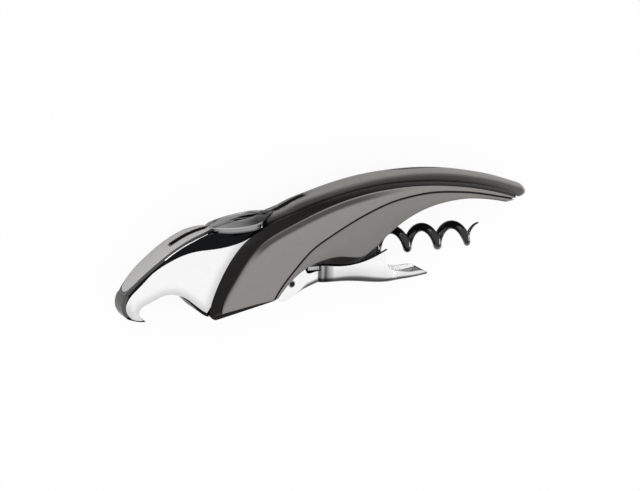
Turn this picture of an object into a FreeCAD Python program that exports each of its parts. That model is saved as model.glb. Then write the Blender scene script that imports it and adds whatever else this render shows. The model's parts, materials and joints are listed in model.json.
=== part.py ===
import FreeCAD, Part
import math
import os
from FreeCAD import Vector

# Bird-shaped lever corkscrew, folded, lying on its side.  Millimetres.
# X runs along the folded worm to the tail, Y from the belly to the spine, Z is the thickness.
# The origin is where the worm's hinge axis meets the plane that the tool rests on.
# Outlines are drawn in the middle plane, and every finished piece is lifted by half_thickness.

# --- Thickness stack, measured from the middle plane outwards ---
spacer_half = 4.75          # spine spacer, wide enough for the worm to lie between the liners
liner_thickness = 1.75
shell_thickness = 1.6
panel_thickness = 0.5
liner_outer = spacer_half + liner_thickness
shell_outer = liner_outer + shell_thickness
half_thickness = shell_outer + panel_thickness

# --- Clearances and reaches ---
flat_clearance = 0.1        # between flat faces that slide on each other
free_clearance = 0.35       # between moving pieces that don't touch
pin_clearance = 0.04        # radial, shaft in hole
beyond = 40.0               # far enough to pass the outline of any piece

# --- Worm and its hub ---
worm_diameter = 8.85
worm_wire = 2.7
worm_pitch = 10.7
worm_length = 56.3          # hinge axis to tip
worm_start = 6.2            # helix begins here, beside the hub
worm_phase = -2.085          # turn of the helix, radians
worm_taper_length = 7.5
worm_tip_wire = 0.5
worm_taper_step = 0.04      # the tapered run starts this much thinner than the even one
hub_radius = 3.6
hub_pin_radius = 1.5
hub_room = 1.6              # round the hub, for its swing
hub_shank_radius = 3.8
hub_shank_start = 2.0

# --- Handle outlines (crown at the flank's foot, border at the panel's edge) ---
crown_points = [(-38.5, -16.6), (-37.0, -11.0), (-34.7, -5.5), (-32.0, -0.7), (-28.6, 3.6), (-22.3, 8.2),
                (-12.6, 11.8), (-2.8, 14.9), (6.5, 17.2), (17.2, 18.8), (28.0, 19.2), (38.0, 18.7),
                (48.6, 17.4), (58.5, 15.3), (65.0, 13.3)]
crown_belly_points = [(61.2, 10.8), (55.8, 11.9), (47.0, 12.8), (38.5, 12.2), (30.2, 10.0), (22.1, 5.6),
                      (15.0, -1.2), (10.3, -4.1), (3.0, -4.5), (-4.5, -4.1), (-9.6, -5.8), (-13.9, -8.9),
                      (-17.9, -14.1)]
chin_corner = (-36.9, -18.3)
border_points = [(-35.5, -15.8), (-34.3, -10.8), (-32.1, -7.0), (-29.0, -2.1), (-26.3, 1.4), (-22.7, 4.6),
                 (-14.1, 9.0), (-4.5, 12.9), (5.4, 15.9), (15.4, 17.7), (28.9, 18.4), (42.6, 17.4),
                 (55.6, 15.0), (63.6, 12.7)]
border_belly_points = [(60.4, 11.3), (55.8, 12.4), (47.0, 13.2), (38.5, 12.6), (30.2, 10.5), (22.1, 6.3),
                       (14.2, 0.0), (10.3, -2.3), (4.0, -1.9), (-3.8, -2.7), (-9.6, -5.2), (-14.6, -9.5),
                       (-17.2, -12.8)]
groove_points = [(-18.6, -13.1), (-15.9, -8.9), (-11.9, -4.2), (-6.9, 0.9), (-0.4, 5.0), (6.1, 8.5),
                 (12.7, 11.5), (19.4, 13.9), (26.2, 15.3), (33.1, 16.0), (40.2, 15.8), (47.3, 15.1),
                 (54.6, 13.8), (63.0, 12.1)]
groove_width = 0.5
panel_inset = 0.15          # satin panels inside the flank's edge
shell_rim = 1.2             # width of the shell's rim round the liner
spacer_inset = 0.6          # spacer inside the shells' outline
liner_end_x = 54.0
mouth_start_x = -18.2       # gap in the shells' rims along the belly
mouth_end_x = 24.2
mouth_low_y = -17.5
mouth_high_y = 6.5

# --- Spine cap ---
ridge_points = [(-22.5, 10.4), (-18.5, 11.3), (-14.5, 12.6), (-10.6, 14.5), (-4.7, 16.6), (1.2, 18.4),
                (7.2, 19.9), (13.3, 21.0), (19.4, 21.7), (25.7, 22.1), (32.0, 22.2), (38.3, 21.9),
                (44.8, 21.2), (51.4, 20.1), (58.0, 18.7), (64.6, 16.8), (68.2, 15.6)]
tail_end_points = [(68.2, 15.6), (70.3, 14.5), (71.1, 13.1), (70.7, 11.8), (69.2, 10.8)]
ridge_base_from = 5         # the cap stands on the crown from this point on
ridge_half = 4.6
ridge_seat = 0.03           # gap between the cap and the spacer under it
ridge_drop = 2.6            # from the crest down to the cap's widest line
ridge_front_share = 0.12    # share of the drop at the cap's front end
ridge_full_x = 5.0          # the drop is whole from here on
ridge_steps = 4
tail_draws = [(0.95, 0.75), (1.25, 0.4), (1.25, 0.1), (1.0, 0.0)]   # shares of the drop, in X and Y
inlay_plan = [(22.0, 0.0), (26.0, 0.8), (32.0, 1.0), (38.0, 0.7), (42.5, 0.0)]
inlay_depth = 0.5

# --- Head ---
beak_points = [(-37.2, 8.5), (-39.5, 8.0), (-42.6, 7.1), (-46.3, 5.4), (-50.0, 3.2), (-53.9, 0.3),
               (-57.9, -3.0), (-61.2, -6.4), (-63.4, -9.3)]
beak_plate_thickness = 0.9
nose_points = [(-63.4, -9.3), (-64.3, -12.0), (-63.8, -14.7), (-62.2, -16.6), (-60.0, -17.8),
               (-58.2, -18.4), (-56.8, -18.4)]
nose_thickness = 1.3
hook_point_thickness = 0.35
nose_half_points = [(-9.0, 3.0), (-12.0, 3.0), (-15.0, 2.8), (-17.0, 2.1), (-18.6, 0.6)]
hook_mouth_points = [(-56.8, -18.4), (-57.9, -16.9), (-59.2, -15.2), (-59.3, -14.0), (-58.5, -12.9),
                     (-56.0, -11.5), (-53.0, -10.0), (-50.0, -9.5), (-47.4, -10.1), (-45.4, -11.5),
                     (-42.9, -13.8), (-40.9, -15.8), (-38.5, -17.2)]
head_root_x = -24.5         # the head's core ends here, between the shells
tang_low_y = -14.2
tang_neck = (-37.3, -16.6)
cheek_top_points = [(-62.9, -11.7), (-61.8, -9.6), (-58.9, -6.4), (-56.0, -3.3), (-51.6, -0.3),
                    (-47.1, 1.8), (-42.6, 2.9), (-37.9, 3.2), (-33.2, 3.7), (-28.4, 4.9), (-24.0, 7.4)]
cheek_nose_points = [(-62.9, -11.7), (-63.1, -12.9), (-62.3, -15.3), (-60.8, -16.6), (-58.4, -17.3)]
cheek_chin_from = 8         # the cheek leaves the mouth's outline at this point
cheek_chin_points = [(-47.4, -10.1), (-46.2, -10.6), (-43.8, -12.3), (-41.4, -14.3), (-39.2, -15.8)]
cheek_thickness = 0.8
head_half_points = [(-64.6, 2.7), (-60.0, 3.9), (-50.0, 5.3), (-40.0, 6.15), (-30.0, 6.5), (-20.0, 6.6)]
beak_half_points = [(-64.6, 2.0), (-61.2, 3.4), (-57.0, 4.3), (-52.0, 4.7), (-46.0, 4.8), (-40.0, 4.2),
                    (-37.0, 2.6)]

# --- Thumb rest: a crowned leaf between the beak and the spine ---
leaf_tip = (-38.2, 8.4)
leaf_end = (-14.5, 12.2)
leaf_half = 8.2
leaf_crown_radius = 26.0
leaf_depth = 1.6
leaf_foot_share = 0.82      # width at the leaf's underside, as a share of its width at the top
leaf_plan = [(0.0, 0.0), (0.12, 0.5), (0.25, 0.79), (0.42, 0.97), (0.54, 1.0), (0.63, 0.94), (0.73, 0.66),
             (0.86, 0.3), (1.0, 0.0)]

# --- Foil blade ---
blade_thickness = 1.8
blade_side_gap = 0.2
blade_slot_gap = 0.35
blade_slot_lead = 0.6       # more room in front of the heel, for the opened blade's back
blade_slot_end = 0.4        # and behind the folded tip
blade_pivot = (-45.7, 2.9)
blade_pin_radius = 0.8
blade_pin_half = 4.0
blade_heel_radius = 1.9
blade_back_points = [(-46.0, 4.4), (-42.6, 5.9), (-39.6, 7.0), (-37.0, 8.3), (-33.0, 9.1), (-26.0, 10.2),
                     (-20.0, 11.2), (-15.6, 11.9), (-12.5, 12.4), (-6.2, 15.0)]
blade_edge_points = [(-6.4, 14.2), (-8.4, 11.9), (-13.0, 9.2), (-21.0, 6.6), (-30.0, 4.3), (-38.0, 2.3),
                     (-43.8, 1.1)]
nick_centre_x = -25.8
nick_half_length = 4.3
nick_depth = 0.7
blade_spring_from = 4       # the blade's spring lies along the edge from this point on

# --- Lever: link at the handle, arm at the link ---
lever_pin = (-11.4, -9.8)
lever_pin_radius = 1.1
lever_room_radius = 7.2
lug_half = 3.7
lug_radius = 2.5
lug_angle = 118.0           # direction of the lug's neck, degrees
lug_neck_length = 9.2
link_side_gap = 0.25
link_wall = 1.0
link_inner = lug_half + link_side_gap
link_outer = link_inner + link_wall
link_web = 0.9
joint_pin = (0.2, -7.5)
joint_pin_radius = 1.1
joint_radius = 2.55
arm_wall = 1.15
joint_cover = 0.4           # of the arm's wall over each end of the joint's pin
arm_inner = link_outer + flat_clearance
arm_outer = arm_inner + arm_wall
arm_web = 1.1
arm_web_start = 1.4         # the arm's web starts this far past the joint, to swing clear of the link
arm_mouth = 6.0             # the arm's channel runs on this far past its end
pin_stand = 0.2             # the lever pin's ends stand proud of the link
link_bottom_points = [(-16.4, -12.4), (-15.9, -14.2), (-14.4, -14.9), (-12.4, -14.4), (-8.7, -12.6),
                      (-5.4, -11.3), (-2.3, -10.3), (0.4, -10.05)]
link_web_from = 4           # the web starts at this point of the underside
link_top_points = [(0.4, -4.95), (-0.8, -4.9), (-1.7, -5.1), (-1.9, -6.5), (-4.4, -6.8), (-6.6, -6.7),
                   (-7.2, -5.5), (-9.6, -5.9), (-13.0, -6.8), (-15.4, -9.2)]
arm_top_points = [(-2.4, -4.6), (1.0, -5.0), (5.6, -5.3), (9.3, -5.0), (12.7, -4.3), (16.4, -3.0),
                  (20.0, -1.3)]
arm_foot_points = [(20.0, -6.0), (21.2, -7.4), (24.4, -8.7), (29.5, -9.6), (34.4, -9.7), (35.3, -10.1)]
arm_bottom_points = [(35.2, -10.8), (30.2, -11.5), (25.0, -11.9), (16.2, -11.6), (11.0, -10.9),
                     (5.8, -10.4), (1.0, -10.3), (-2.4, -10.1)]

# --- Springs and fasteners ---
spring_thickness = 0.6
spring_seat = 0.1           # gap between a spring and its pocket
lever_spring_from = 146.0   # degrees round the lever's pin
lever_spring_to = 190.0
lever_spring_half = 3.2
rivet_radius = 1.0
rivet_places = [(-33.0, -12.5), (-18.5, 1.5), (24.0, 13.0), (46.0, 15.2)]
peg_radius = 1.0
peg_half = 4.6
peg_places = [(-46.0, -3.6), (-38.5, -9.0)]


def vec(point, z=0.0):
    return Vector(point[0], point[1], z)


def curve(points, z=0.0):
    """Smooth edge through the given (x, y) points."""
    spline = Part.BSplineCurve()
    spline.interpolate([vec(point, z) for point in points])
    return spline.toShape()


def line(start, end, z=0.0):
    return Part.LineSegment(vec(start, z), vec(end, z)).toShape()


def wire(*edges):
    return Part.Wire(Part.sortEdges(list(edges))[0])


def slab(outline, low, high):
    """Solid between two heights over a closed outline."""
    face = Part.makeFace(outline, "Part::FaceMakerBullseye")
    face.translate(Vector(0, 0, low))
    return face.extrude(Vector(0, 0, high - low))


def polygon(points):
    return Part.makePolygon([vec(point) for point in points + points[:1]])


def disc(centre, radius, low, high):
    return Part.makeCylinder(radius, high - low, vec(centre, low), Vector(0, 0, 1))


def beside(points, distance):
    """The same run of points, moved sideways to the left of its direction."""
    moved = []
    last = len(points) - 1
    for index, point in enumerate(points):
        before = points[max(index - 1, 0)]
        after = points[min(index + 1, last)]
        run_x = after[0] - before[0]
        run_y = after[1] - before[1]
        length = math.hypot(run_x, run_y)
        moved.append((point[0] - distance * run_y / length, point[1] + distance * run_x / length))
    return moved


def mirrored(shape):
    """The twin of a piece on the other side of the middle plane."""
    return shape.mirror(Vector(0, 0, 0), Vector(0, 0, 1))


def plan_prism(half_points):
    """Tall solid whose plan (X-Z) is symmetric and follows the given (x, half width) points."""
    near = [Vector(x, -beyond, half) for x, half in half_points]
    far = [Vector(x, -beyond, -half) for x, half in half_points]
    near_curve = Part.BSplineCurve()
    near_curve.interpolate(near)
    far_curve = Part.BSplineCurve()
    far_curve.interpolate(far)
    start = Part.LineSegment(near[0], far[0]).toShape()
    end = Part.LineSegment(near[-1], far[-1]).toShape()
    outline = wire(near_curve.toShape(), end, far_curve.toShape(), start)
    return Part.Face(outline).extrude(Vector(0, 2 * beyond, 0))


def crown_outline(inset=0.0):
    """Outline at the flank's foot, or the same drawn smaller by inset."""
    crown = beside(crown_points, -inset)
    belly = beside(crown_belly_points, -inset)
    chin = (chin_corner[0] + inset / 2, chin_corner[1] + inset)
    return wire(curve(crown), line(crown[-1], belly[0]), curve(belly), line(belly[-1], chin),
                line(chin, crown[0]))


def border_outline(z=0.0):
    return wire(curve(border_points, z), line(border_points[-1], border_belly_points[0], z),
                curve(border_belly_points, z), line(border_belly_points[-1], border_points[0], z))


def worm_room():
    """Space for the worm and its hub between the liners."""
    reach = hub_radius + hub_room
    return Part.makeBox(2 * beyond, beyond, 2 * spacer_half, Vector(-reach, reach - beyond, -spacer_half))


def blade_outline(gap):
    """Side outline of the blade, grown by gap."""
    back = beside(blade_back_points, gap)
    edge = beside(blade_edge_points, gap)
    return wire(curve(back), line(back[-1], edge[0]), curve(edge), line(edge[-1], back[0]))


def blade_slot():
    """Slot in the middle plane from the blade up through the spine."""
    half = blade_thickness / 2 + blade_side_gap
    floor = beside(blade_edge_points, blade_slot_gap)
    top_right = (blade_back_points[-1][0] + blade_slot_gap + blade_slot_end, beyond)
    left_x = blade_pivot[0] - blade_heel_radius - blade_slot_gap - blade_slot_lead
    low_left = (left_x, floor[-1][1])
    top_left = (left_x, beyond)
    outline = wire(line(top_left, top_right), line(top_right, floor[0]), curve(floor),
                   line(floor[-1], low_left), line(low_left, top_left))
    room = disc(blade_pivot, blade_heel_radius + blade_slot_gap, -half, half)
    return slab(outline, -half, half).fuse(room).removeSplitter()


def make_foil_blade():
    half = blade_thickness / 2
    blade = slab(blade_outline(0.0), -half, half)
    blade = blade.fuse(disc(blade_pivot, blade_heel_radius, -half, half))
    blade = blade.cut(disc(blade_pivot, blade_pin_radius + pin_clearance, -half, half))
    return blade.cut(nail_nick()).removeSplitter()


def nail_nick():
    """Shallow round cut in the blade's back, flush with the thumb rest's crest, to lift the blade by."""
    radius = (nick_half_length ** 2 + nick_depth ** 2) / (2 * nick_depth)
    centre = (nick_centre_x, leaf_height(nick_centre_x) - nick_depth + radius)
    return disc(centre, radius, -blade_thickness, blade_thickness)


def make_shell():
    """Near side shell: flank, rim over the spacer, and pocket for the liner."""
    rim = slab(crown_outline(), spacer_half + flat_clearance, liner_outer)
    pocket = slab(crown_outline(shell_rim), spacer_half, liner_outer)
    foot = wire(curve(crown_points, liner_outer), line(crown_points[-1], crown_belly_points[0], liner_outer),
                curve(crown_belly_points, liner_outer),
                line(crown_belly_points[-1], crown_points[0], liner_outer))
    top = border_outline(shell_outer)
    flank = Part.makeLoft([foot, top], True, True)
    rim = rim.cut(pocket).cut(belly_mouth())
    return rim.fuse(flank).removeSplitter()


def belly_mouth():
    """Gap in the shells' rims along the belly, where lever and worm swing out."""
    return Part.makeBox(mouth_end_x - mouth_start_x, mouth_high_y - mouth_low_y, 2 * liner_outer,
                        Vector(mouth_start_x, mouth_low_y, -liner_outer))


def make_liner():
    """Near side liner plate, inside the shell's pocket."""
    plate = slab(crown_outline(shell_rim + flat_clearance), spacer_half, liner_outer)
    tail_side = Part.makeBox(beyond, 2 * beyond, liner_outer, Vector(liner_end_x, -beyond, 0))
    plate = plate.cut(tail_side)
    return open_for_mechanism(plate)


def open_for_mechanism(piece):
    """Clear a frame piece round the lever's hinge and bore it for the pins and rivets."""
    piece = piece.cut(disc(lever_pin, lever_room_radius, -liner_outer, liner_outer))
    piece = piece.cut(disc((0, 0), hub_pin_radius + pin_clearance, -liner_outer, liner_outer))
    for place in rivet_places:
        piece = piece.cut(disc(place, rivet_radius + pin_clearance, -liner_outer, liner_outer))
    return piece.removeSplitter()


def make_spacer():
    """Core of the handle between the liners, with the lug that carries the lever."""
    body = slab(crown_outline(spacer_inset), -spacer_half, spacer_half)
    body = body.cut(worm_room())
    body = open_for_mechanism(body)
    neck = Part.makeBox(lug_neck_length, 2 * lug_radius, 2 * lug_half,
                        Vector(0, -lug_radius, -lug_half))
    neck.rotate(Vector(0, 0, 0), Vector(0, 0, 1), lug_angle)
    neck.translate(vec(lever_pin))
    lug = disc(lever_pin, lug_radius, -lug_half, lug_half).fuse(neck)
    body = body.fuse(lug)
    body = body.cut(disc(lever_pin, lever_pin_radius + pin_clearance, -lug_half, lug_half))
    body = body.cut(blade_slot())
    head_side = Part.makeBox(beyond, 2 * beyond, 2 * spacer_half,
                             Vector(head_root_x - beyond, -beyond, -spacer_half))
    return body.cut(head_side).removeSplitter()


def head_plan(inset):
    """Plan of the head, wider towards the handle, drawn narrower by inset on each side."""
    return plan_prism([(x, half - inset) for x, half in head_half_points])


def head_block():
    """Full side view of the head over the whole thickness, before its plan is trimmed."""
    under_plate = beside(beak_points, beak_plate_thickness)
    low_tip = (leaf_tip[0], leaf_tip[1] - leaf_depth)
    top_right = (head_root_x, leaf_height(head_root_x) - leaf_depth)
    bottom_right = (head_root_x, tang_low_y)
    outline = wire(curve(under_plate), line(under_plate[0], low_tip), line(low_tip, top_right),
                   line(top_right, bottom_right), line(bottom_right, tang_neck),
                   line(tang_neck, hook_mouth_points[-1]), curve(hook_mouth_points), curve(nose_points),
                   line(nose_points[0], under_plate[-1]))
    return slab(outline, -leaf_half, leaf_half)


def leaf_height(x):
    """Height of the thumb rest's crest above the middle line of the tool."""
    rise = (leaf_end[1] - leaf_tip[1]) / (leaf_end[0] - leaf_tip[0])
    return leaf_tip[1] + rise * (x - leaf_tip[0])


def make_thumb_rest():
    """Crowned leaf that fills the saddle between the beak and the spine."""
    length = math.hypot(leaf_end[0] - leaf_tip[0], leaf_end[1] - leaf_tip[1])
    tilt = math.degrees(math.atan2(leaf_end[1] - leaf_tip[1], leaf_end[0] - leaf_tip[0]))
    rings = []
    rim_drop = leaf_crown_radius - math.sqrt(leaf_crown_radius ** 2 - leaf_half ** 2)
    for depth, share in [(1.0, 1.0), (-rim_drop, 1.0), (-rim_drop - leaf_depth, leaf_foot_share)]:
        near = [Vector(length * along, depth, leaf_half * width * share) for along, width in leaf_plan]
        far = [Vector(point.x, point.y, -point.z) for point in near]
        near_curve = Part.BSplineCurve()
        near_curve.interpolate(near)
        far_curve = Part.BSplineCurve()
        far_curve.interpolate(far)
        rings.append(Part.Wire([near_curve.toShape(), far_curve.toShape()]))
    leaf = Part.makeLoft(rings, True, True)
    crown = Part.makeCylinder(leaf_crown_radius, 3 * length, Vector(-length, -leaf_crown_radius, 0),
                              Vector(1, 0, 0))
    leaf = leaf.common(crown)
    leaf.rotate(Vector(0, 0, 0), Vector(0, 0, 1), tilt)
    leaf.translate(vec(leaf_tip))
    leaf = leaf.cut(shell_space(flat_clearance))
    return leaf


def leaf_room():
    """Everything above the thumb rest's underside, in its plan."""
    near = []
    for along, width in leaf_plan:
        x = leaf_tip[0] + along * (leaf_end[0] - leaf_tip[0])
        near.append(Vector(x, 0, leaf_half * width))
    far = [Vector(point.x, point.y, -point.z) for point in near]
    near_curve = Part.BSplineCurve()
    near_curve.interpolate(near)
    far_curve = Part.BSplineCurve()
    far_curve.interpolate(far)
    plan = Part.makeFace(Part.Wire([near_curve.toShape(), far_curve.toShape()]), "Part::FaceMakerBullseye")
    tall = plan.extrude(Vector(0, beyond, 0))
    floor = leaf_height(leaf_tip[0]) - leaf_depth
    rise = math.degrees(math.atan2(leaf_end[1] - leaf_tip[1], leaf_end[0] - leaf_tip[0]))
    below = Part.makeBox(2 * beyond, beyond, 2 * beyond, Vector(-beyond, -beyond, -beyond))
    below.rotate(Vector(0, 0, 0), Vector(0, 0, 1), rise)
    below.translate(Vector(leaf_tip[0], floor, 0))
    return tall.cut(below)


def shell_space(gap):
    """Everything that the two shells and what lies in them take up beside the spacer."""
    block = slab(crown_outline(-gap), spacer_half, half_thickness)
    return block.fuse(mirrored(block))


def make_head_core(thumb_rest):
    """Cast core of the head with its tang between the liners."""
    core = head_block().common(head_plan(cheek_thickness))
    core = core.cut(shell_space(flat_clearance)).cut(thumb_rest).cut(blade_slot())
    core = core.cut(blade_spring_band(spring_seat, blade_thickness / 2 + blade_side_gap))
    for place in peg_places:
        core = core.cut(disc(place, peg_radius + pin_clearance, -leaf_half, leaf_half))
    core = core.cut(disc(rivet_places[0], rivet_radius + pin_clearance, -leaf_half, leaf_half))
    bore_half = blade_pin_half + pin_clearance
    core = core.cut(disc(blade_pivot, blade_pin_radius + pin_clearance, -bore_half, bore_half))
    return largest(core)


def blade_spring_band(gap, half):
    """Strip just below the folded blade's edge, grown by gap."""
    run = blade_edge_points[blade_spring_from:]
    near = beside(run, blade_slot_gap - gap)
    far = beside(run, blade_slot_gap + spring_thickness + 2 * spring_seat + gap)
    band = wire(curve(near), line(near[-1], far[-1]), curve(far), line(far[0], near[0]))
    return slab(band, -half, half)


def largest(shape):
    """The biggest solid of a cut piece, without the loose slivers."""
    return max(shape.Solids, key=lambda solid: solid.Volume)


def make_cheek(thumb_rest):
    """Near side mirror plate of the head, bowed with the head's plan."""
    mouth = hook_mouth_points[1:cheek_chin_from] + cheek_chin_points
    outline = wire(curve(cheek_top_points), curve(cheek_nose_points), line(cheek_nose_points[-1], mouth[0]),
                   curve(mouth), line(mouth[-1], cheek_top_points[-1]))
    plate = slab(outline, 0.0, leaf_half).common(head_plan(0.0)).cut(head_plan(cheek_thickness))
    return largest(plate.cut(thumb_rest).cut(shell_space(flat_clearance)))


def make_beak_plate():
    """Satin plate over the top of the beak, slotted for the blade."""
    under = beside(beak_points, beak_plate_thickness)
    outline = wire(curve(beak_points), line(beak_points[-1], under[-1]), curve(under),
                   line(under[0], beak_points[0]))
    plate = slab(outline, -leaf_half, leaf_half)
    plan = plan_prism(beak_half_points)
    return plate.common(plan).cut(blade_slot())


def make_cap_lifter():
    """Nose strip that wraps the front of the beak down to the hook's point."""
    inner = beside(nose_points, nose_thickness)
    inner[-1] = (nose_points[-1][0], nose_points[-1][1] + hook_point_thickness)
    outline = wire(curve(nose_points), line(nose_points[-1], inner[-1]), curve(inner),
                   line(inner[0], nose_points[0]))
    return slab(outline, -leaf_half, leaf_half).common(nose_plan())


def nose_plan():
    """Front view trim of the nose: full width above, drawn in to the hook's point."""
    near = [Vector(0, height, width) for height, width in nose_half_points]
    far = [Vector(0, height, -width) for height, width in nose_half_points]
    near_curve = Part.BSplineCurve()
    near_curve.interpolate(near)
    far_curve = Part.BSplineCurve()
    far_curve.interpolate(far)
    top = Part.LineSegment(near[0], far[0]).toShape()
    bottom = Part.LineSegment(near[-1], far[-1]).toShape()
    outline = wire(near_curve.toShape(), bottom, far_curve.toShape(), top)
    return Part.Face(outline).extrude(Vector(-2 * beyond, 0, 0))


def lowered_crest(drop):
    """The crest's line moved down by the drop, less towards the front."""
    front_x = ridge_points[0][0]
    lowered = []
    for (x, y), (low_x, low_y) in zip(ridge_points, beside(ridge_points, -drop)):
        along = min(1.0, (x - front_x) / (ridge_full_x - front_x))
        share = ridge_front_share + (1.0 - ridge_front_share) * along
        lowered.append((x + share * (low_x - x), y + share * (low_y - y)))
    return lowered


def make_ridge():
    """Rounded spine cap, notched in front for the thumb rest and slotted for the blade."""
    base = beside(crown_points[ridge_base_from:], -spacer_inset)
    rings = []
    for step in range(ridge_steps + 1):
        angle = 0.5 * math.pi * step / ridge_steps
        height = ridge_half * math.sin(angle)
        drop = ridge_drop * (1.0 - math.cos(angle))
        top = lowered_crest(drop)
        tail = []
        for (x, y), (draw_x, draw_y) in zip(tail_end_points[1:], tail_draws):
            tail.append((x - draw_x * drop, y - draw_y * drop))
        rings.append(wire(curve(top, height), curve([top[-1]] + tail, height),
                          line(tail[-1], base[-1], height), curve(base, height),
                          line(base[0], top[0], height)))
    side = Part.makeLoft(rings, True, False)
    seat = slab(crown_outline(spacer_inset - ridge_seat), -shell_outer, shell_outer)
    return side.fuse(mirrored(side)).cut(seat)


def make_ridge_crest():
    """Thin band just under the spine cap's crest, where the inlay lies."""
    low = beside(ridge_points, -inlay_depth)
    outline = wire(curve(ridge_points), line(ridge_points[-1], low[-1]), curve(low),
                   line(low[0], ridge_points[0]))
    return slab(outline, -ridge_half, ridge_half).common(make_ridge())


def make_inlay_prism():
    """Lens-shaped plan of the gloss inlay, run up through the spine cap."""
    near = [Vector(x, 0, half) for x, half in inlay_plan]
    far = [Vector(x, 0, -half) for x, half in inlay_plan]
    near_curve = Part.BSplineCurve()
    near_curve.interpolate(near)
    far_curve = Part.BSplineCurve()
    far_curve.interpolate(far)
    plan = Part.Face(Part.Wire([near_curve.toShape(), far_curve.toShape()]))
    return plan.extrude(Vector(0, beyond, 0))


def helix_run(start, length, first_wire, last_wire):
    """Stretch of the worm's wire, laid out along X, between two wire diameters."""
    radius = (worm_diameter - worm_wire) / 2
    path = Part.makeHelix(worm_pitch, length, radius)
    rise = worm_pitch / (2 * math.pi)
    turn = 2 * math.pi * length / worm_pitch
    ends = []
    for angle, height, diameter in [(0.0, 0.0, first_wire), (turn, length, last_wire)]:
        centre = Vector(radius * math.cos(angle), radius * math.sin(angle), height)
        heading = Vector(-radius * math.sin(angle), radius * math.cos(angle), rise)
        ends.append(Part.Wire(Part.makeCircle(diameter / 2, centre, heading)))
    if first_wire == last_wire:
        ends = ends[:1]
    run = Part.Wire(path).makePipeShell(ends, True, True)
    run.rotate(Vector(0, 0, 0), Vector(1, 1, 1), 120)
    run.rotate(Vector(0, 0, 0), Vector(1, 0, 0), math.degrees(2 * math.pi * start / worm_pitch + worm_phase))
    run.translate(Vector(start, 0, 0))
    return run


def make_worm():
    """Right-handed wire helix with a tapered point, started beside the hub."""
    even = worm_length - worm_taper_length - worm_start
    turns = helix_run(worm_start, even, worm_wire, worm_wire)
    point = helix_run(worm_start + even, worm_taper_length, worm_wire - worm_taper_step, worm_tip_wire)
    return turns.fuse(point)


def make_worm_hub():
    """Eye of the worm on its pin, with a short shank into the first turn."""
    half = spacer_half - free_clearance
    eye = disc((0, 0), hub_radius, -half, half)
    shank = Part.makeCylinder(hub_shank_radius, worm_start - hub_shank_start, Vector(hub_shank_start, 0, 0),
                              Vector(1, 0, 0))
    hub = eye.fuse(shank).cut(disc((0, 0), hub_pin_radius + pin_clearance, -half, half))
    return hub.removeSplitter()


def make_link():
    """U-shaped link: two cheeks round the lug, a web below and the first step at its end."""
    low = wire(curve(link_bottom_points), line(link_bottom_points[-1], link_top_points[0]),
               curve(link_top_points[:3]), line(link_top_points[2], link_top_points[3]),
               curve(link_top_points[3:]), line(link_top_points[-1], link_bottom_points[0]))
    body = slab(low, -link_outer, link_outer).fuse(disc(joint_pin, joint_radius, -link_outer, link_outer))
    inner_low = [(x, y + link_web) for x, y in link_bottom_points[link_web_from:]]
    top_left = (inner_low[0][0], beyond)
    top_right = (joint_pin[0] - joint_radius - free_clearance, beyond)
    low_right = (top_right[0], inner_low[-2][1])
    channel = wire(curve(inner_low[:-1]), line(inner_low[-2], low_right), line(low_right, top_right),
                   line(top_right, top_left), line(top_left, inner_low[0]))
    body = body.cut(slab(channel, -link_inner, link_inner))
    body = body.cut(Part.makeBox(beyond, 2 * beyond, 2 * link_inner,
                                 Vector(inner_low[0][0] - beyond, -beyond, -link_inner)))
    body = body.cut(disc(lever_pin, lever_pin_radius + pin_clearance, -link_outer, link_outer))
    body = body.cut(disc(joint_pin, joint_pin_radius + pin_clearance, -link_outer, link_outer))
    return body.removeSplitter()


def make_arm():
    """U-shaped arm outside the link, with the second step and the foot that leaves the bottle."""
    outline = wire(curve(arm_top_points), line(arm_top_points[-1], arm_foot_points[0]),
                   curve(arm_foot_points), line(arm_foot_points[-1], arm_bottom_points[0]),
                   curve(arm_bottom_points), line(arm_bottom_points[-1], arm_top_points[0]))
    body = slab(outline, -arm_outer, arm_outer)
    floor = [(x, y + arm_web) for x, y in arm_bottom_points]
    low_left = (floor[-1][0] - arm_mouth, floor[-1][1])
    top_left = (low_left[0], beyond)
    top_right = (floor[0][0], beyond)
    channel = wire(curve(floor), line(floor[-1], low_left), line(low_left, top_left),
                   line(top_left, top_right), line(top_right, floor[0]))
    body = body.cut(slab(channel, -arm_inner, arm_inner))
    clear = disc(joint_pin, joint_radius + free_clearance, -arm_inner, arm_inner)
    clear = clear.fuse(Part.makeBox(beyond, 2 * beyond, 2 * arm_inner,
                                    Vector(joint_pin[0] + arm_web_start - beyond, -beyond, -arm_inner)))
    body = body.cut(clear)
    bore_half = arm_outer - joint_cover
    body = body.cut(disc(joint_pin, joint_pin_radius + pin_clearance, -bore_half, bore_half))
    return body.removeSplitter()


def make_panel():
    """Near side satin panel above the groove."""
    top = beside(border_points, -panel_inset)
    low = beside(groove_points, groove_width / 2)
    outline = wire(curve(top), line(top[-1], low[-1]), curve(low), line(low[0], top[0]))
    return slab(outline, shell_outer, half_thickness)


def make_feather():
    """Near side satin strip between the groove and the belly."""
    top = beside(groove_points, -groove_width / 2)
    low = beside(border_belly_points, -panel_inset)
    outline = wire(curve(top), line(top[-1], low[0]), curve(low), line(low[-1], top[0]))
    return slab(outline, shell_outer, half_thickness)


def make_lever_spring():
    """Leaf in the wall of the lever's room that holds the link folded."""
    outer = lever_room_radius - spring_seat
    ring = disc(lever_pin, outer, -lever_spring_half, lever_spring_half)
    ring = ring.cut(disc(lever_pin, outer - spring_thickness, -lug_half, lug_half))
    reach = 3 * lever_room_radius
    corners = [(0.0, 0.0)]
    for angle in (lever_spring_from, lever_spring_to):
        turn = math.radians(angle)
        corners.append((reach * math.cos(turn), reach * math.sin(turn)))
    wedge = slab(polygon(corners), -lug_half, lug_half)
    wedge.translate(vec(lever_pin))
    return ring.common(wedge)


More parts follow.
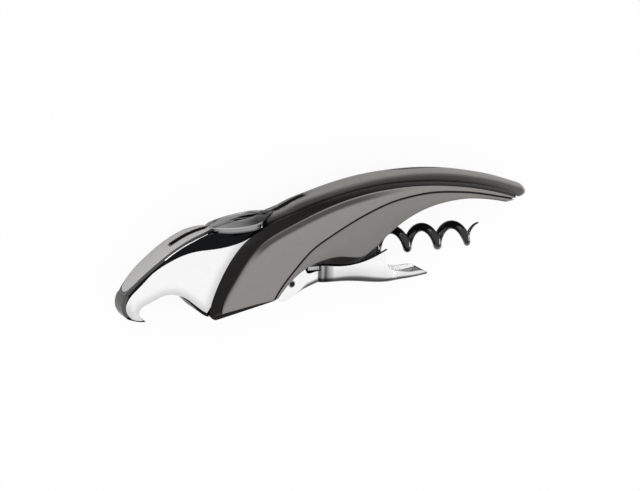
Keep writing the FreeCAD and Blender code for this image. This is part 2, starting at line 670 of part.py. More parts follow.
def joint_shaft():
    """Pin of the joint between link and arm, hidden in blind bores."""
    half = arm_outer - joint_cover - flat_clearance
    return disc(joint_pin, joint_pin_radius, -half, half)


def make_rivets():
    """Four rivets through liners and spacer, hidden by the shells."""
    return [disc(place, rivet_radius, -liner_outer, liner_outer) for place in rivet_places]


def make_pegs():
    """Two pegs through the head's core that hold its cheeks."""
    return [disc(place, peg_radius, -peg_half, peg_half) for place in peg_places]


def near_half(shape):
    """The one of two twin solids that lies on the near side."""
    return max(shape.Solids, key=lambda solid: solid.CenterOfMass.z)


def build():
    """All nodes by name, in the middle plane's own frame."""
    rest = make_thumb_rest()
    slot = blade_slot()
    rest_half = near_half(rest.cut(slot))
    shell = make_shell()
    liner = make_liner()
    lifter = make_cap_lifter()
    cheek = make_cheek(rest).cut(lifter)
    hub = make_worm_hub()
    panel = make_panel()
    feather = make_feather()
    inlay = make_inlay_prism().common(make_ridge_crest())
    spacer = make_spacer().cut(rest)
    ridge = make_ridge().cut(leaf_room()).cut(rest).cut(slot).cut(inlay)
    nodes = {
        "spine_spacer": spacer,
        "liner_left": liner,
        "liner_right": mirrored(liner),
        "handle_shell_left": shell,
        "handle_shell_right": mirrored(shell),
        "side_panel_left": panel,
        "side_panel_right": mirrored(panel),
        "lower_feather_left": feather,
        "lower_feather_right": mirrored(feather),
        "spine_cap": largest(ridge),
        "spine_inlay": inlay,
        "head_core": make_head_core(rest).cut(lifter),
        "cheek_left": cheek,
        "cheek_right": mirrored(cheek),
        "beak_plate": make_beak_plate().cut(lifter).cut(rest),
        "cap_lifter": lifter,
        "thumb_rest_left": rest_half,
        "thumb_rest_right": mirrored(rest_half),
        "foil_blade": make_foil_blade(),
        "blade_pin": disc(blade_pivot, blade_pin_radius, -blade_pin_half, blade_pin_half),
        "blade_spring": blade_spring_band(0.0, blade_thickness / 2),
        "worm": make_worm().cut(hub),
        "worm_hub": hub,
        "worm_pin": disc((0, 0), hub_pin_radius, -liner_outer, liner_outer),
        "lever_link": make_link(),
        "lever_pin": disc(lever_pin, lever_pin_radius, -link_outer - pin_stand, link_outer + pin_stand),
        "lever_spring": make_lever_spring(),
        "lever_arm": make_arm(),
        "joint_pin": joint_shaft(),
        "frame_rivets": Part.makeCompound(make_rivets()),
        "head_pegs": Part.makeCompound(make_pegs()),
    }
    return nodes


def export(nodes):
    os.makedirs("parts", exist_ok=True)
    for name, shape in nodes.items():
        placed = shape.copy()
        placed.translate(Vector(0, 0, half_thickness))
        placed.exportStep("parts/" + name + ".step")
        box = placed.optimalBoundingBox()
        size = [round(value, 2) for value in (box.XLength, box.YLength, box.ZLength)]
        print(name, "solids", len(placed.Solids), "valid", placed.isValid(), "size", size)


if __name__ == "__main__":
    export(build())
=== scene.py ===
import json
import math
import bmesh
import bpy
from mathutils import Matrix, Vector
from mathutils.bvhtree import BVHTree


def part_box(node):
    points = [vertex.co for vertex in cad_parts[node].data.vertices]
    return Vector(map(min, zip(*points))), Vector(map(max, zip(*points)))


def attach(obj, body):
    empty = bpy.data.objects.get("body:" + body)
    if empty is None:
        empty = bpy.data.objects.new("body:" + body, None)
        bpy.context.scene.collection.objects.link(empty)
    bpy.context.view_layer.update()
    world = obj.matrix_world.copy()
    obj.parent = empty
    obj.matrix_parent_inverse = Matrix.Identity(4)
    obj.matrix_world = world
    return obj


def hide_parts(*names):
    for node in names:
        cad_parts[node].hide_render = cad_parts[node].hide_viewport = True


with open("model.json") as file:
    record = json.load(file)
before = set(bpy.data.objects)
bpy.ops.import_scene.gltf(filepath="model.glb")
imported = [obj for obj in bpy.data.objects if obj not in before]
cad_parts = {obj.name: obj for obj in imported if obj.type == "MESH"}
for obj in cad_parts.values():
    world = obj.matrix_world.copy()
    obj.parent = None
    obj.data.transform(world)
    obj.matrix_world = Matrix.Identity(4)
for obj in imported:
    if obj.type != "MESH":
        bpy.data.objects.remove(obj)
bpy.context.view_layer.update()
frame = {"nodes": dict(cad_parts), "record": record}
nodes = frame["nodes"]
mm = 0.001
farOff = 40.0  # mm, where a search for a surface starts, well outside the tool
deepIn = 9.0  # mm, further in than any edge reaches
tiny = 1e-6  # what counts as no length at all

midHeight = sum(corner.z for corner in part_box("spine_spacer")) / 2  # the tool's middle plane above the floor


# camera, world, lamps and floor

cameraSettings = {
    "lens": 100.0,  # mm
    "sensor": 36.0,
    "clipStart": 0.01,
    "distance": 0.537,
    "toCamera": Vector((-0.43597, 0.24192, 0.86683)),
    "up": Vector((0.07589, 0.96964, -0.23245)),
}


def makeCamera():
    back = cameraSettings["toCamera"].normalized()
    right = cameraSettings["up"].cross(back).normalized()
    up = back.cross(right)
    target = Vector((0.0, 0.0, midHeight))
    turn = Matrix((right, up, back)).transposed()
    bpy.ops.object.camera_add(location=target + back * cameraSettings["distance"], rotation=turn.to_euler())
    camera = bpy.context.object
    camera.name = "viewCamera"
    camera.data.lens = cameraSettings["lens"]
    camera.data.sensor_width = cameraSettings["sensor"]
    camera.data.clip_start = cameraSettings["clipStart"]
    bpy.context.scene.camera = camera


studio = {
    "skyTop": (0.96, 0.96, 0.96, 1.0),
    "skyEdge": (0.1, 0.1, 0.105, 1.0),
    "skyStrength": 1.0,
    "edgeUntil": 0.5,  # share of the way up where the sky is fully bright
    "lamps": [
        {"size": (0.35, 0.35), "watts": 0.8, "place": Vector((-0.35, 0.5, 0.6))},
        {"size": (0.5, 0.1), "watts": 3.0, "place": Vector((0.85, -0.25, 0.16))},
    ],
    "floorSize": 3.0,
    "floorColour": (0.93, 0.93, 0.93, 1.0),
    "floorWhite": 0.93,  # share of the floor that the camera sees as plain white
}


def nodeIn(tree, kind, **inputs):
    made = tree.nodes.new(kind)
    for name, value in inputs.items():
        made.inputs[name].default_value = value
    return made


def makeWorld():
    world = bpy.data.worlds.new("studioSky")
    bpy.context.scene.world = world
    world.use_nodes = True
    tree = world.node_tree
    tree.nodes.clear()
    place = tree.nodes.new("ShaderNodeTexCoord")
    parts = tree.nodes.new("ShaderNodeSeparateXYZ")
    sky = tree.nodes.new("ShaderNodeValToRGB")
    edge, top = sky.color_ramp.elements
    edge.position, edge.color = 0.0, studio["skyEdge"]
    top.position, top.color = studio["edgeUntil"], studio["skyTop"]
    light = nodeIn(tree, "ShaderNodeBackground", Strength=studio["skyStrength"])
    plain = nodeIn(tree, "ShaderNodeBackground", Color=(1.0, 1.0, 1.0, 1.0), Strength=1.0)
    rays = tree.nodes.new("ShaderNodeLightPath")
    mix = tree.nodes.new("ShaderNodeMixShader")
    out = tree.nodes.new("ShaderNodeOutputWorld")
    tree.links.new(place.outputs["Generated"], parts.inputs["Vector"])
    tree.links.new(parts.outputs["Z"], sky.inputs["Fac"])
    tree.links.new(sky.outputs["Color"], light.inputs["Color"])
    tree.links.new(rays.outputs["Is Camera Ray"], mix.inputs["Fac"])
    tree.links.new(light.outputs["Background"], mix.inputs[1])
    tree.links.new(plain.outputs["Background"], mix.inputs[2])
    tree.links.new(mix.outputs["Shader"], out.inputs["Surface"])


def makeLamps():
    for number, lamp in enumerate(studio["lamps"], 1):
        aim = -lamp["place"].normalized()
        turn = aim.to_track_quat("-Z", "Y").to_euler()
        bpy.ops.object.light_add(type="AREA", location=lamp["place"], rotation=turn)
        light = bpy.context.object
        light.name = "softLamp%d" % number
        light.data.shape = "ELLIPSE"
        light.data.size, light.data.size_y = lamp["size"]
        light.data.energy = lamp["watts"]


def makeFloor():
    bpy.ops.mesh.primitive_plane_add(size=studio["floorSize"], location=(0.0, 0.0, 0.0))
    floor = bpy.context.object
    floor.name = "studioFloor"
    finish = bpy.data.materials.new("floorPaint")
    finish.use_nodes = True
    tree = finish.node_tree
    tree.nodes.clear()
    paint = nodeIn(tree, "ShaderNodeBsdfDiffuse", Color=studio["floorColour"])
    highlight = nodeIn(tree, "ShaderNodeEmission", Color=(1.0, 1.0, 1.0, 1.0), Strength=1.0)
    rays = tree.nodes.new("ShaderNodeLightPath")
    share = tree.nodes.new("ShaderNodeMath")
    share.operation = "MULTIPLY"
    share.inputs[1].default_value = studio["floorWhite"]
    mix = tree.nodes.new("ShaderNodeMixShader")
    out = tree.nodes.new("ShaderNodeOutputMaterial")
    tree.links.new(rays.outputs["Is Camera Ray"], share.inputs[0])
    tree.links.new(share.outputs["Value"], mix.inputs["Fac"])
    tree.links.new(paint.outputs["BSDF"], mix.inputs[1])
    tree.links.new(highlight.outputs["Emission"], mix.inputs[2])
    tree.links.new(mix.outputs["Shader"], out.inputs["Surface"])
    floor.data.materials.append(finish)


bpy.context.scene.view_settings.view_transform = "Standard"
makeCamera()
makeWorld()
makeLamps()
makeFloor()
print("studio ready")


# finishes: each has a slow mottle, most have a fine grain, and some take painted shade, painted highlights and
# painted reflections from a shade attribute on the piece

finishes = {
    "satin_panel": {
        "colour": (0.275, 0.262, 0.25), "metallic": 0.85, "rough": 0.42, "grain": 0.006, "mottle": 0.06,
    },
    "gloss_flank": {
        "colour": (0.009, 0.0068, 0.0065), "metallic": 0.0, "rough": 0.3, "gloss": 0.14, "grain": 0.002,
    },
    "spine_satin": {
        "colour": (0.285, 0.272, 0.258), "metallic": 0.85, "rough": 0.4, "grain": 0.005, "mottle": 0.05,
    },
    "gloss_black": {"colour": (0.0025, 0.003, 0.0038), "metallic": 0.0, "rough": 0.22, "gloss": 0.08},
    "mirror_chrome": {"colour": (0.96, 0.96, 0.965), "metallic": 1.0, "rough": 0.07},
    "lever_chrome": {"colour": (0.94, 0.94, 0.945), "metallic": 1.0, "rough": 0.17},
    "dark_chrome": {"colour": (0.62, 0.62, 0.63), "metallic": 1.0, "rough": 0.14},
    "beak_satin": {
        "colour": (0.58, 0.566, 0.55), "metallic": 0.85, "rough": 0.35, "grain": 0.004, "mottle": 0.05,
    },
    "nose_steel": {"colour": (0.1, 0.097, 0.094), "metallic": 0.85, "rough": 0.3, "grain": 0.003},
    "frame_steel": {"colour": (0.03, 0.028, 0.026), "metallic": 0.6, "rough": 0.4, "grain": 0.004},
    "blade_steel": {"colour": (0.5, 0.5, 0.5), "metallic": 0.9, "rough": 0.28, "gloss": 0.06, "grain": 0.003},
    "spring_steel": {"colour": (0.3, 0.3, 0.3), "metallic": 0.9, "rough": 0.35, "grain": 0.003},
    "pin_steel": {"colour": (0.05, 0.048, 0.046), "metallic": 0.9, "rough": 0.25, "grain": 0.003},
    "worm_black": {"colour": (0.006, 0.006, 0.006), "metallic": 0.0, "rough": 0.09, "gloss": 0.5},
}


surface = {
    "gloss": 0.5,  # where a finish names none
    "mottle": 0.03,
    "cloud": {"Scale": 420.0, "Detail": 5.0, "Roughness": 0.6},
    "wear": {"Scale": 900.0, "Detail": 3.0},
    "speck": {"Scale": 6500.0, "Detail": 2.0},
    "roughSpread": 0.15,
    "grainStrength": 0.5,
}


def makeFinish(slotName, shaded):
    facts = finishes[slotName]
    finish = bpy.data.materials.new(slotName + ("_shaded" if shaded else ""))
    finish.use_nodes = True
    tree = finish.node_tree
    shader = tree.nodes["Principled BSDF"]
    shader.inputs["Metallic"].default_value = facts["metallic"]
    shader.inputs["Specular IOR Level"].default_value = facts.get("gloss", surface["gloss"])
    place = tree.nodes.new("ShaderNodeTexCoord")

    mottle = facts.get("mottle", surface["mottle"])
    cloud = nodeIn(tree, "ShaderNodeTexNoise", **surface["cloud"])
    tone = tree.nodes.new("ShaderNodeMapRange")
    tone.inputs["To Min"].default_value = 1.0 - mottle
    tone.inputs["To Max"].default_value = 1.0 + mottle
    colour = tree.nodes.new("ShaderNodeVectorMath")
    colour.operation = "SCALE"
    colour.inputs[0].default_value = facts["colour"]
    tree.links.new(place.outputs["Object"], cloud.inputs["Vector"])
    tree.links.new(cloud.outputs["Fac"], tone.inputs["Value"])
    if shaded:
        # the shade attribute: painted shade, highlights and reflections that scale the colour
        painted = tree.nodes.new("ShaderNodeAttribute")
        painted.attribute_name = "shade"
        both = tree.nodes.new("ShaderNodeMath")
        both.operation = "MULTIPLY"
        tree.links.new(painted.outputs["Fac"], both.inputs[0])
        tree.links.new(tone.outputs["Result"], both.inputs[1])
        tree.links.new(both.outputs["Value"], colour.inputs["Scale"])
        # the polish attribute sets the metallic share, lowered on some places painted dark or light
        polish = tree.nodes.new("ShaderNodeAttribute")
        polish.attribute_name = "polish"
        tree.links.new(polish.outputs["Fac"], shader.inputs["Metallic"])
    else:
        tree.links.new(tone.outputs["Result"], colour.inputs["Scale"])
    tree.links.new(colour.outputs["Vector"], shader.inputs["Base Color"])

    wear = nodeIn(tree, "ShaderNodeTexNoise", **surface["wear"])
    rough = tree.nodes.new("ShaderNodeMapRange")
    rough.inputs["To Min"].default_value = facts["rough"] * (1.0 - surface["roughSpread"])
    rough.inputs["To Max"].default_value = facts["rough"] * (1.0 + surface["roughSpread"])
    tree.links.new(place.outputs["Object"], wear.inputs["Vector"])
    tree.links.new(wear.outputs["Fac"], rough.inputs["Value"])
    tree.links.new(rough.outputs["Result"], shader.inputs["Roughness"])

    if "grain" in facts:
        speck = nodeIn(tree, "ShaderNodeTexNoise", **surface["speck"])
        bump = nodeIn(tree, "ShaderNodeBump", Strength=surface["grainStrength"], Distance=facts["grain"] * mm)
        tree.links.new(place.outputs["Object"], speck.inputs["Vector"])
        tree.links.new(speck.outputs["Fac"], bump.inputs["Height"])
        tree.links.new(bump.outputs["Normal"], shader.inputs["Normal"])
    return finish


finished = {}


def finishFor(slotName, shaded=False):
    if (slotName, shaded) not in finished:
        finished[(slotName, shaded)] = makeFinish(slotName, shaded)
    return finished[(slotName, shaded)]


slotOfNode = {part["node"]: part["material_slot"] for part in frame["record"]["subparts"]}
bodyOfNode = {}
for bodyName, members in frame["record"]["behaviour"]["bodies"].items():
    for member in members:
        bodyOfNode[member] = bodyName
for name, thing in nodes.items():
    thing.data.materials.clear()
    thing.data.materials.append(finishFor(slotOfNode[name]))
print("finishes ready")


# tools for the pieces

meshCare = {
    "copied": 0.002,  # mm between points that become one
    "grid": 0.0005,
    "flatWithin": 0.4,  # degrees between faces that become one
    "smoothBelow": 40.0,
    "sharperThan": 35.0,
}


def workOn(thing):
    bpy.ops.object.select_all(action="DESELECT")
    thing.select_set(True)
    bpy.context.view_layer.objects.active = thing


def copyNode(nodeName, newName, flattened=True):
    thing = bpy.data.objects.new(newName, nodes[nodeName].data.copy())
    bpy.context.scene.collection.objects.link(thing)
    thing.data.materials.clear()
    workOn(thing)
    bpy.ops.object.mode_set(mode="EDIT")
    bpy.ops.mesh.select_all(action="SELECT")
    bpy.ops.mesh.customdata_custom_splitnormals_clear()
    bpy.ops.mesh.remove_doubles(threshold=meshCare["copied"] * mm)
    if flattened:
        bpy.ops.mesh.dissolve_limited(angle_limit=math.radians(meshCare["flatWithin"]))
    bpy.ops.object.mode_set(mode="OBJECT")
    return thing


def roundEdges(thing, width, segments=3):
    workOn(thing)
    bevel = thing.modifiers.new("roundEdges", "BEVEL")
    bevel.width = width * mm
    bevel.segments = segments
    bevel.limit_method = "ANGLE"
    bevel.angle_limit = math.radians(meshCare["sharperThan"])
    bpy.ops.object.modifier_apply(modifier=bevel.name)


def sharpEdges(thing):
    mesh = bmesh.new()
    mesh.from_mesh(thing.data)
    found = []
    for edge in mesh.edges:
        if len(edge.link_faces) == 2 and math.degrees(edge.calc_face_angle(0.0)) > meshCare["sharperThan"]:
            ends = [vertex.co / mm for vertex in edge.verts]
            found.append((edge.index, ends, [face.normal.copy() for face in edge.link_faces]))
    mesh.free()
    return found


def roundSome(thing, width, chosen, segments=4):
    weights = thing.data.attributes.new("bevel_weight_edge", "FLOAT", "EDGE")
    for index, ends, normals in sharpEdges(thing):
        if chosen(ends, normals):
            weights.data[index].value = 1.0
    workOn(thing)
    bevel = thing.modifiers.new("roundSome", "BEVEL")
    bevel.width = width * mm
    bevel.segments = segments
    bevel.limit_method = "WEIGHT"
    bevel.use_clamp_overlap = False
    bpy.ops.object.modifier_apply(modifier=bevel.name)
    left = thing.data.attributes.get("bevel_weight_edge")
    if left:
        thing.data.attributes.remove(left)


def sliceUp(thing, steps):
    workOn(thing)
    bpy.ops.object.mode_set(mode="EDIT")
    for axis, step in enumerate(steps):
        low = min(vertex.co[axis] for vertex in thing.data.vertices) / mm
        high = max(vertex.co[axis] for vertex in thing.data.vertices) / mm
        normal = [0.0, 0.0, 0.0]
        normal[axis] = 1.0
        for index in range(1, int((high - low) / step)):
            place = [0.0, 0.0, 0.0]
            place[axis] = (low + index * step) * mm
            bpy.ops.mesh.select_all(action="SELECT")
            bpy.ops.mesh.bisect(plane_co=place, plane_no=normal)
    bpy.ops.object.mode_set(mode="OBJECT")


def solidOf(nodeName):
    mesh = nodes[nodeName].data
    spots = [vertex.co for vertex in mesh.vertices]
    return BVHTree.FromPolygons(spots, [face.vertices for face in mesh.polygons])


def hitOn(solid, start, aim):
    found = solid.ray_cast(Vector(start) * mm, Vector(aim))[0]
    return found / mm if found else None


def smoothFaces(thing, angle=meshCare["smoothBelow"]):
    workOn(thing)
    bpy.ops.object.shade_smooth_by_angle(angle=math.radians(angle))


def paintShade(thing, rule, metallic):
    # tone: painted shade, highlights and reflections; share: how much of the finish's metallic stays
    shade = thing.data.attributes.new("shade", "FLOAT", "POINT")
    polish = thing.data.attributes.new("polish", "FLOAT", "POINT")
    for vertex in thing.data.vertices:
        tone, share = rule(vertex.co / mm, vertex.normal)
        shade.data[vertex.index].value = tone
        polish.data[vertex.index].value = metallic * share


def dress(thing, slotName, bodyName, shaded=False):
    thing.data.materials.append(finishFor(slotName, shaded))
    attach(thing, bodyName)


def standFor(thing, nodeName, shaded=False):
    dress(thing, slotOfNode[nodeName], bodyOfNode[nodeName], shaded)
    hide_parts(nodeName)


def ramp(value, start, end):
    share = (value - start) / (end - start)
    share = max(0.0, min(1.0, share))
    return share * share * (3.0 - 2.0 * share)


def between(low, high, share):
    return low + (high - low) * share


def fading(steps, place):  # steps: a value, the value past it, and the two places between which it changes
    before, after, start, end = steps
    return between(before, after, ramp(place, start, end))


def alongSteps(steps, place):  # steps: a row of places with their values
    for (start, low), (end, high) in zip(steps, steps[1:]):
        if place <= end:
            return between(low, high, ramp(place, start, end))
    return steps[-1][1]


def gridPiece(newName, rows, columns, place, metallic):
    bpy.ops.object.select_all(action="DESELECT")
    bpy.ops.mesh.primitive_grid_add(x_subdivisions=columns, y_subdivisions=rows, size=2.0)
    thing = bpy.context.object
    thing.name = newName
    # shade: the painted tone that the place rule gives each point
    shade = thing.data.attributes.new("shade", "FLOAT", "POINT")
    polish = thing.data.attributes.new("polish", "FLOAT", "POINT")
    for vertex in thing.data.vertices:
        row = round((vertex.co.y + 1.0) / 2.0 * rows)
        column = round((vertex.co.x + 1.0) / 2.0 * columns)
        spot, tone = place(row, column)
        vertex.co = Vector(spot) * mm
        shade.data[vertex.index].value = tone
        polish.data[vertex.index].value = metallic
    bpy.ops.object.mode_set(mode="EDIT")
    bpy.ops.mesh.select_all(action="SELECT")
    bpy.ops.mesh.remove_doubles(threshold=meshCare["grid"] * mm)
    bpy.ops.mesh.normals_make_consistent(inside=False)
    bpy.ops.object.mode_set(mode="OBJECT")
    return thing


# satin panels and lower feathers: thin plates with a light line (a painted highlight on a small step at the
# border), a dark bevel (painted shade on a shallow slope) and a satin flat

def plateOutline(nodeName):
    piece = copyNode(nodeName, "outlineOnly")
    face = max(piece.data.polygons, key=lambda face: face.area)
    spots = [piece.data.vertices[index].co / mm for index in face.vertices]
    bpy.data.objects.remove(piece)
    return [(spot.x, spot.y) for spot in spots]


def splitOutline(spots):
    first = min(range(len(spots)), key=lambda index: sum(spots[index]))
    last = max(range(len(spots)), key=lambda index: spots[index][0])
    turned = spots[first:] + spots[:first]
    cut = (last - first) % len(spots)
    one = turned[:cut + 1]
    other = [turned[0]] + turned[cut:][::-1]
    chains = sorted([one, other], key=lambda chain: sum(y for x, y in chain) / len(chain))
    return chains[1], chains[0]


def runLengths(chain):
    lengths = [0.0]
    for start, end in zip(chain, chain[1:]):
        lengths.append(lengths[-1] + math.dist(start, end))
    return [length / lengths[-1] for length in lengths]


def cornerShares(chain):
    shares = runLengths(chain)
    found = []
    for index in range(1, len(chain) - 1):
        before = Vector(chain[index]) - Vector(chain[index - 1])
        after = Vector(chain[index + 1]) - Vector(chain[index])
        if math.degrees(before.angle(after)) > plateFacts["cornerAbove"]:
            found.append(shares[index])
    return found


def spotAt(chain, shares, share):
    for index in range(1, len(chain)):
        if shares[index] >= share:
            step = (share - shares[index - 1]) / max(shares[index] - shares[index - 1], tiny)
            return Vector(chain[index - 1]).lerp(Vector(chain[index]), step)
    return Vector(chain[-1])


plateFacts = {
    "stations": 180,  # rows along the plate
    "steps": (0.0, 0.1, 0.3, 0.38, 0.9, 1.5, 2.1, 2.4),  # mm in from the border
    "line": 0.3,  # width of the light line at the border
    "flatFrom": 2.2,
    "panelDrop": 0.3,  # mm from the flat down to the light line
    "featherDrop": 0.05,
    "tailDrop": (1.0, 0.35, 6.0, 34.0),  # the drop's share along X
    "wall": 0.12,  # more drop at the very border
    "inner": (0.45, 0.12, 0.0),  # mm in from the groove or the belly
    "innerDrop": 0.12,
    "innerMix": 0.4,
    "upperMost": 0.5,  # shares of a narrow plate that its two borders may take
    "lowerMost": 0.4,
    "squareOver": (4.0, 9.0),  # widths between which the steps turn square to the border
    "aheadShare": 0.004,
    "cornerAbove": 20.0,  # degrees of turn
    "smoothBelow": 28.0,
    # tones: a painted highlight on the border line, painted shade on the bevel, and softer painted shade at
    # the head end
    "bevelTone": (0.3, 1.0, 6.0, 30.0),
    "bevelEnd": (1.5, 2.3),
    "lineTone": (0.62, 1.1, -22.0, 16.0),
    "lineTailTone": (0.85, 28.0, 50.0),
    "lineHeadTone": (0.14, -20.0, -26.0),
    "softHeadTone": (0.25, 1.0, 0.0, 1.3),
    "headFrom": (-22.0, -27.0),
    # painted shade along the lower borders: the panels' by the groove, the feathers' by the belly
    "panelBelowTone": (0.92, 0.92, 0.0, 1.0),
    "featherLineTone": 0.8,
    "featherTone": 0.86,
    "featherBelowTone": (0.62, 0.8, 30.0, 50.0),
}


def panelTone(inward, x):
    # painted highlight: the light line along the border, fading at the tail and at the head
    line = fading(plateFacts["lineTone"], x)
    line = fading((line, *plateFacts["lineTailTone"]), x)
    line = fading((line, *plateFacts["lineHeadTone"]), x)
    if inward <= plateFacts["line"]:
        return line
    # painted shade on the bevel, softened where the border meets the dark flank at the head end
    bevel = fading((fading(plateFacts["bevelTone"], x), 1.0, *plateFacts["bevelEnd"]), inward)
    return between(bevel, fading(plateFacts["softHeadTone"], inward), ramp(x, *plateFacts["headFrom"]))


def featherTone(inward, x):
    # the feather's border line by the groove is painted a little darker, as shade
    return plateFacts["featherLineTone"] if inward <= plateFacts["line"] else plateFacts["featherTone"]


def makePlate(nodeName, side, tone, lowSteps, edgeDrop):
    upper, lower = splitOutline(plateOutline(nodeName))
    upperShares, lowerShares = runLengths(upper), runLengths(lower)
    count = plateFacts["stations"]
    shares = sorted(set([index / count for index in range(count + 1)] + cornerShares(lower)))
    low, high = (corner.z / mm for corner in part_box(nodeName))
    openZ, backZ = (high, low) if side > 0 else (low, high)
    steps, inner = plateFacts["steps"], plateFacts["inner"]
    columns = len(steps) + len(inner) + 2

    def place(row, column):
        share = shares[row]
        top = spotAt(upper, upperShares, share)
        foot = spotAt(lower, lowerShares, share)
        width = (foot - top).length
        if column in (0, columns):
            return (top.x, top.y, backZ), tone(0.0, top.x)
        if column == columns - 1:
            return (foot.x, foot.y, backZ), fading(lowSteps, foot.x)
        across = (foot - top) / width if width > tiny else Vector((0.0, -1.0))
        ahead = spotAt(upper, upperShares, min(1.0, share + plateFacts["aheadShare"]))
        behind = spotAt(upper, upperShares, max(0.0, share - plateFacts["aheadShare"]))
        along = (ahead - behind).normalized()
        inwards = Vector((along.y, -along.x))
        inwards = across.lerp(inwards, ramp(width, *plateFacts["squareOver"])).normalized()
        if column <= len(steps):
            inward = steps[column - 1]
            spot = top + inwards * inward * min(1.0, plateFacts["upperMost"] * width / steps[-1])
            rise = ramp(inward, plateFacts["line"], plateFacts["flatFrom"])
            drop = edgeDrop * (1.0 - rise) * fading(plateFacts["tailDrop"], top.x)
            if inward == 0.0:
                drop += plateFacts["wall"]
            return (spot.x, spot.y, openZ - side * drop), tone(inward, spot.x)
        inward = inner[column - 1 - len(steps)]
        spot = foot - across * inward * min(1.0, plateFacts["lowerMost"] * width / inner[0])
        drop = plateFacts["innerDrop"] if inward == 0.0 else 0.0
        mix = 1.0 if inward < plateFacts["line"] else plateFacts["innerMix"]
        # towards the lower border the tone mixes into its painted shade
        lowTone = between(tone(steps[-1], spot.x), fading(lowSteps, spot.x), mix)
        return (spot.x, spot.y, openZ - side * drop), lowTone

    metallic = finishes["satin_panel"]["metallic"]
    piece = gridPiece(nodeName + "_satin", len(shares) - 1, columns, place, metallic)
    smoothFaces(piece, plateFacts["smoothBelow"])
    standFor(piece, nodeName, shaded=True)


for sideName, side in (("left", 1), ("right", -1)):
    below, drop = plateFacts["panelBelowTone"], plateFacts["panelDrop"]
    makePlate("side_panel_" + sideName, side, panelTone, below, drop)
    below, drop = plateFacts["featherBelowTone"], plateFacts["featherDrop"]
    makePlate("lower_feather_" + sideName, side, featherTone, below, drop)
print("panels ready")


# leaf halves of the thumb rest: a chrome lip round a dished face with a nick to lift the blade by, painted
# with reflections that darken along the leaf, a highlight round the nick and shade in it

leafFacts = {
    "stations": 120,  # rows along the leaf
    "rimSteps": (0.0, 0.04, 0.2, 0.8, 0.88, 1.2, 1.6),  # mm in from the rim
    "middleSteps": (4.6, 3.9, 3.3, 2.8, 2.4, 2.1, 1.85, 1.6, 1.35, 1.15, 0.96),  # mm from the middle plane
    "rimMost": 0.9,  # share of a narrow half that the rim's steps may take
    "lip": 0.8,
    "lipWall": 0.7,
    "dish": 0.4,
    "dishFrom": 0.9,
    "dishOver": (2.4, 4.2),  # half widths between which the dish sets in
    "thick": 1.3,
    "endDrop": 0.5,
    "arch": 0.62,  # rise of the crest between its ends
    "archLean": 1.3,
    "nickAt": -25.6,
    "nickHalf": 4.8,
    "nickWide": 2.0,
    "nickDeep": 0.5,
    "nickFloor": 0.35,
    "nickLeast": 0.01,
    "nickPast": 100.0,  # widths out, where there is no nick
    "above": 30.0,  # mm, where the search for the crest starts
    "fine": 0.02,
    "smoothBelow": 35.0,
    "ends": 0.05,  # mm in from the leaf's ends
    # tones: painted reflections on the lip, rim, wall and face that darken along the leaf, a painted highlight
    # round the nick, painted shade in the nick and under the leaf
    "farLipTone": 0.55,
    "farRimTone": 1.0,
    "farRimWide": 1.0,
    "wallWide": 0.1,
    "wallTone": (0.5, 0.006, -25.5, -23.4),
    "lipTone": (0.95, 0.6, -34.0, -23.5),
    "lipEndTone": (1.0, 0.03, -23.5, -22.0),
    "faceTone": (0.5, 0.3, -36.0, -27.0),
    "faceEndTone": (0.012, -29.5, -23.2),
    "faceRimTone": (0.1, 1.0, 0.86, 1.5),
    "glowTone": 0.28,  # the painted highlight round the nick
    "glowIn": (0.8, 1.1),
    "glowOut": (1.1, 2.2),
    "glowLong": (2.5, 5.5),
    "nickTone": (0.04, 1.0, 0.8, 1.05),
    "underTone": 0.1,
}
leafEnds = [corner.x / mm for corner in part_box("thumb_rest_left")]


def leafArch(x):
    along = max(0.0, min(1.0, (x - leafEnds[0]) / (leafEnds[1] - leafEnds[0])))
    return leafFacts["arch"] * math.sin(math.pi * along ** leafFacts["archLean"])


def nickReach(x, away):
    along = (x - leafFacts["nickAt"]) / leafFacts["nickHalf"]
    wide = leafFacts["nickWide"] * (1.0 - along * along)
    return away / wide if wide > leafFacts["nickLeast"] else leafFacts["nickPast"]


def leafTone(inward, x, away, side):
    # the lip, rim and wall take painted reflections that darken towards the leaf's end
    onLip = inward <= leafFacts["lip"]
    if side < 0 and onLip:
        return leafFacts["farLipTone"]
    if side < 0 and inward < leafFacts["farRimWide"]:
        return leafFacts["farRimTone"]
    if onLip and inward < leafFacts["wallWide"]:
        return fading(leafFacts["wallTone"], x)
    if onLip:
        return fading(leafFacts["lipTone"], x) * fading(leafFacts["lipEndTone"], x)
    # the face: a painted reflection darkening along X and near the rim, a painted highlight round the nick and
    # painted shade in it
    face = fading((fading(leafFacts["faceTone"], x), *leafFacts["faceEndTone"]), x)
    face *= fading(leafFacts["faceRimTone"], inward)
    reach = nickReach(x, away)
    highlight = (1.0 - ramp(reach, *leafFacts["glowOut"])) * ramp(reach, *leafFacts["glowIn"])
    face += leafFacts["glowTone"] * highlight * (1.0 - ramp(abs(x - leafFacts["nickAt"]), *leafFacts["glowLong"]))
    return face * fading(leafFacts["nickTone"], reach)


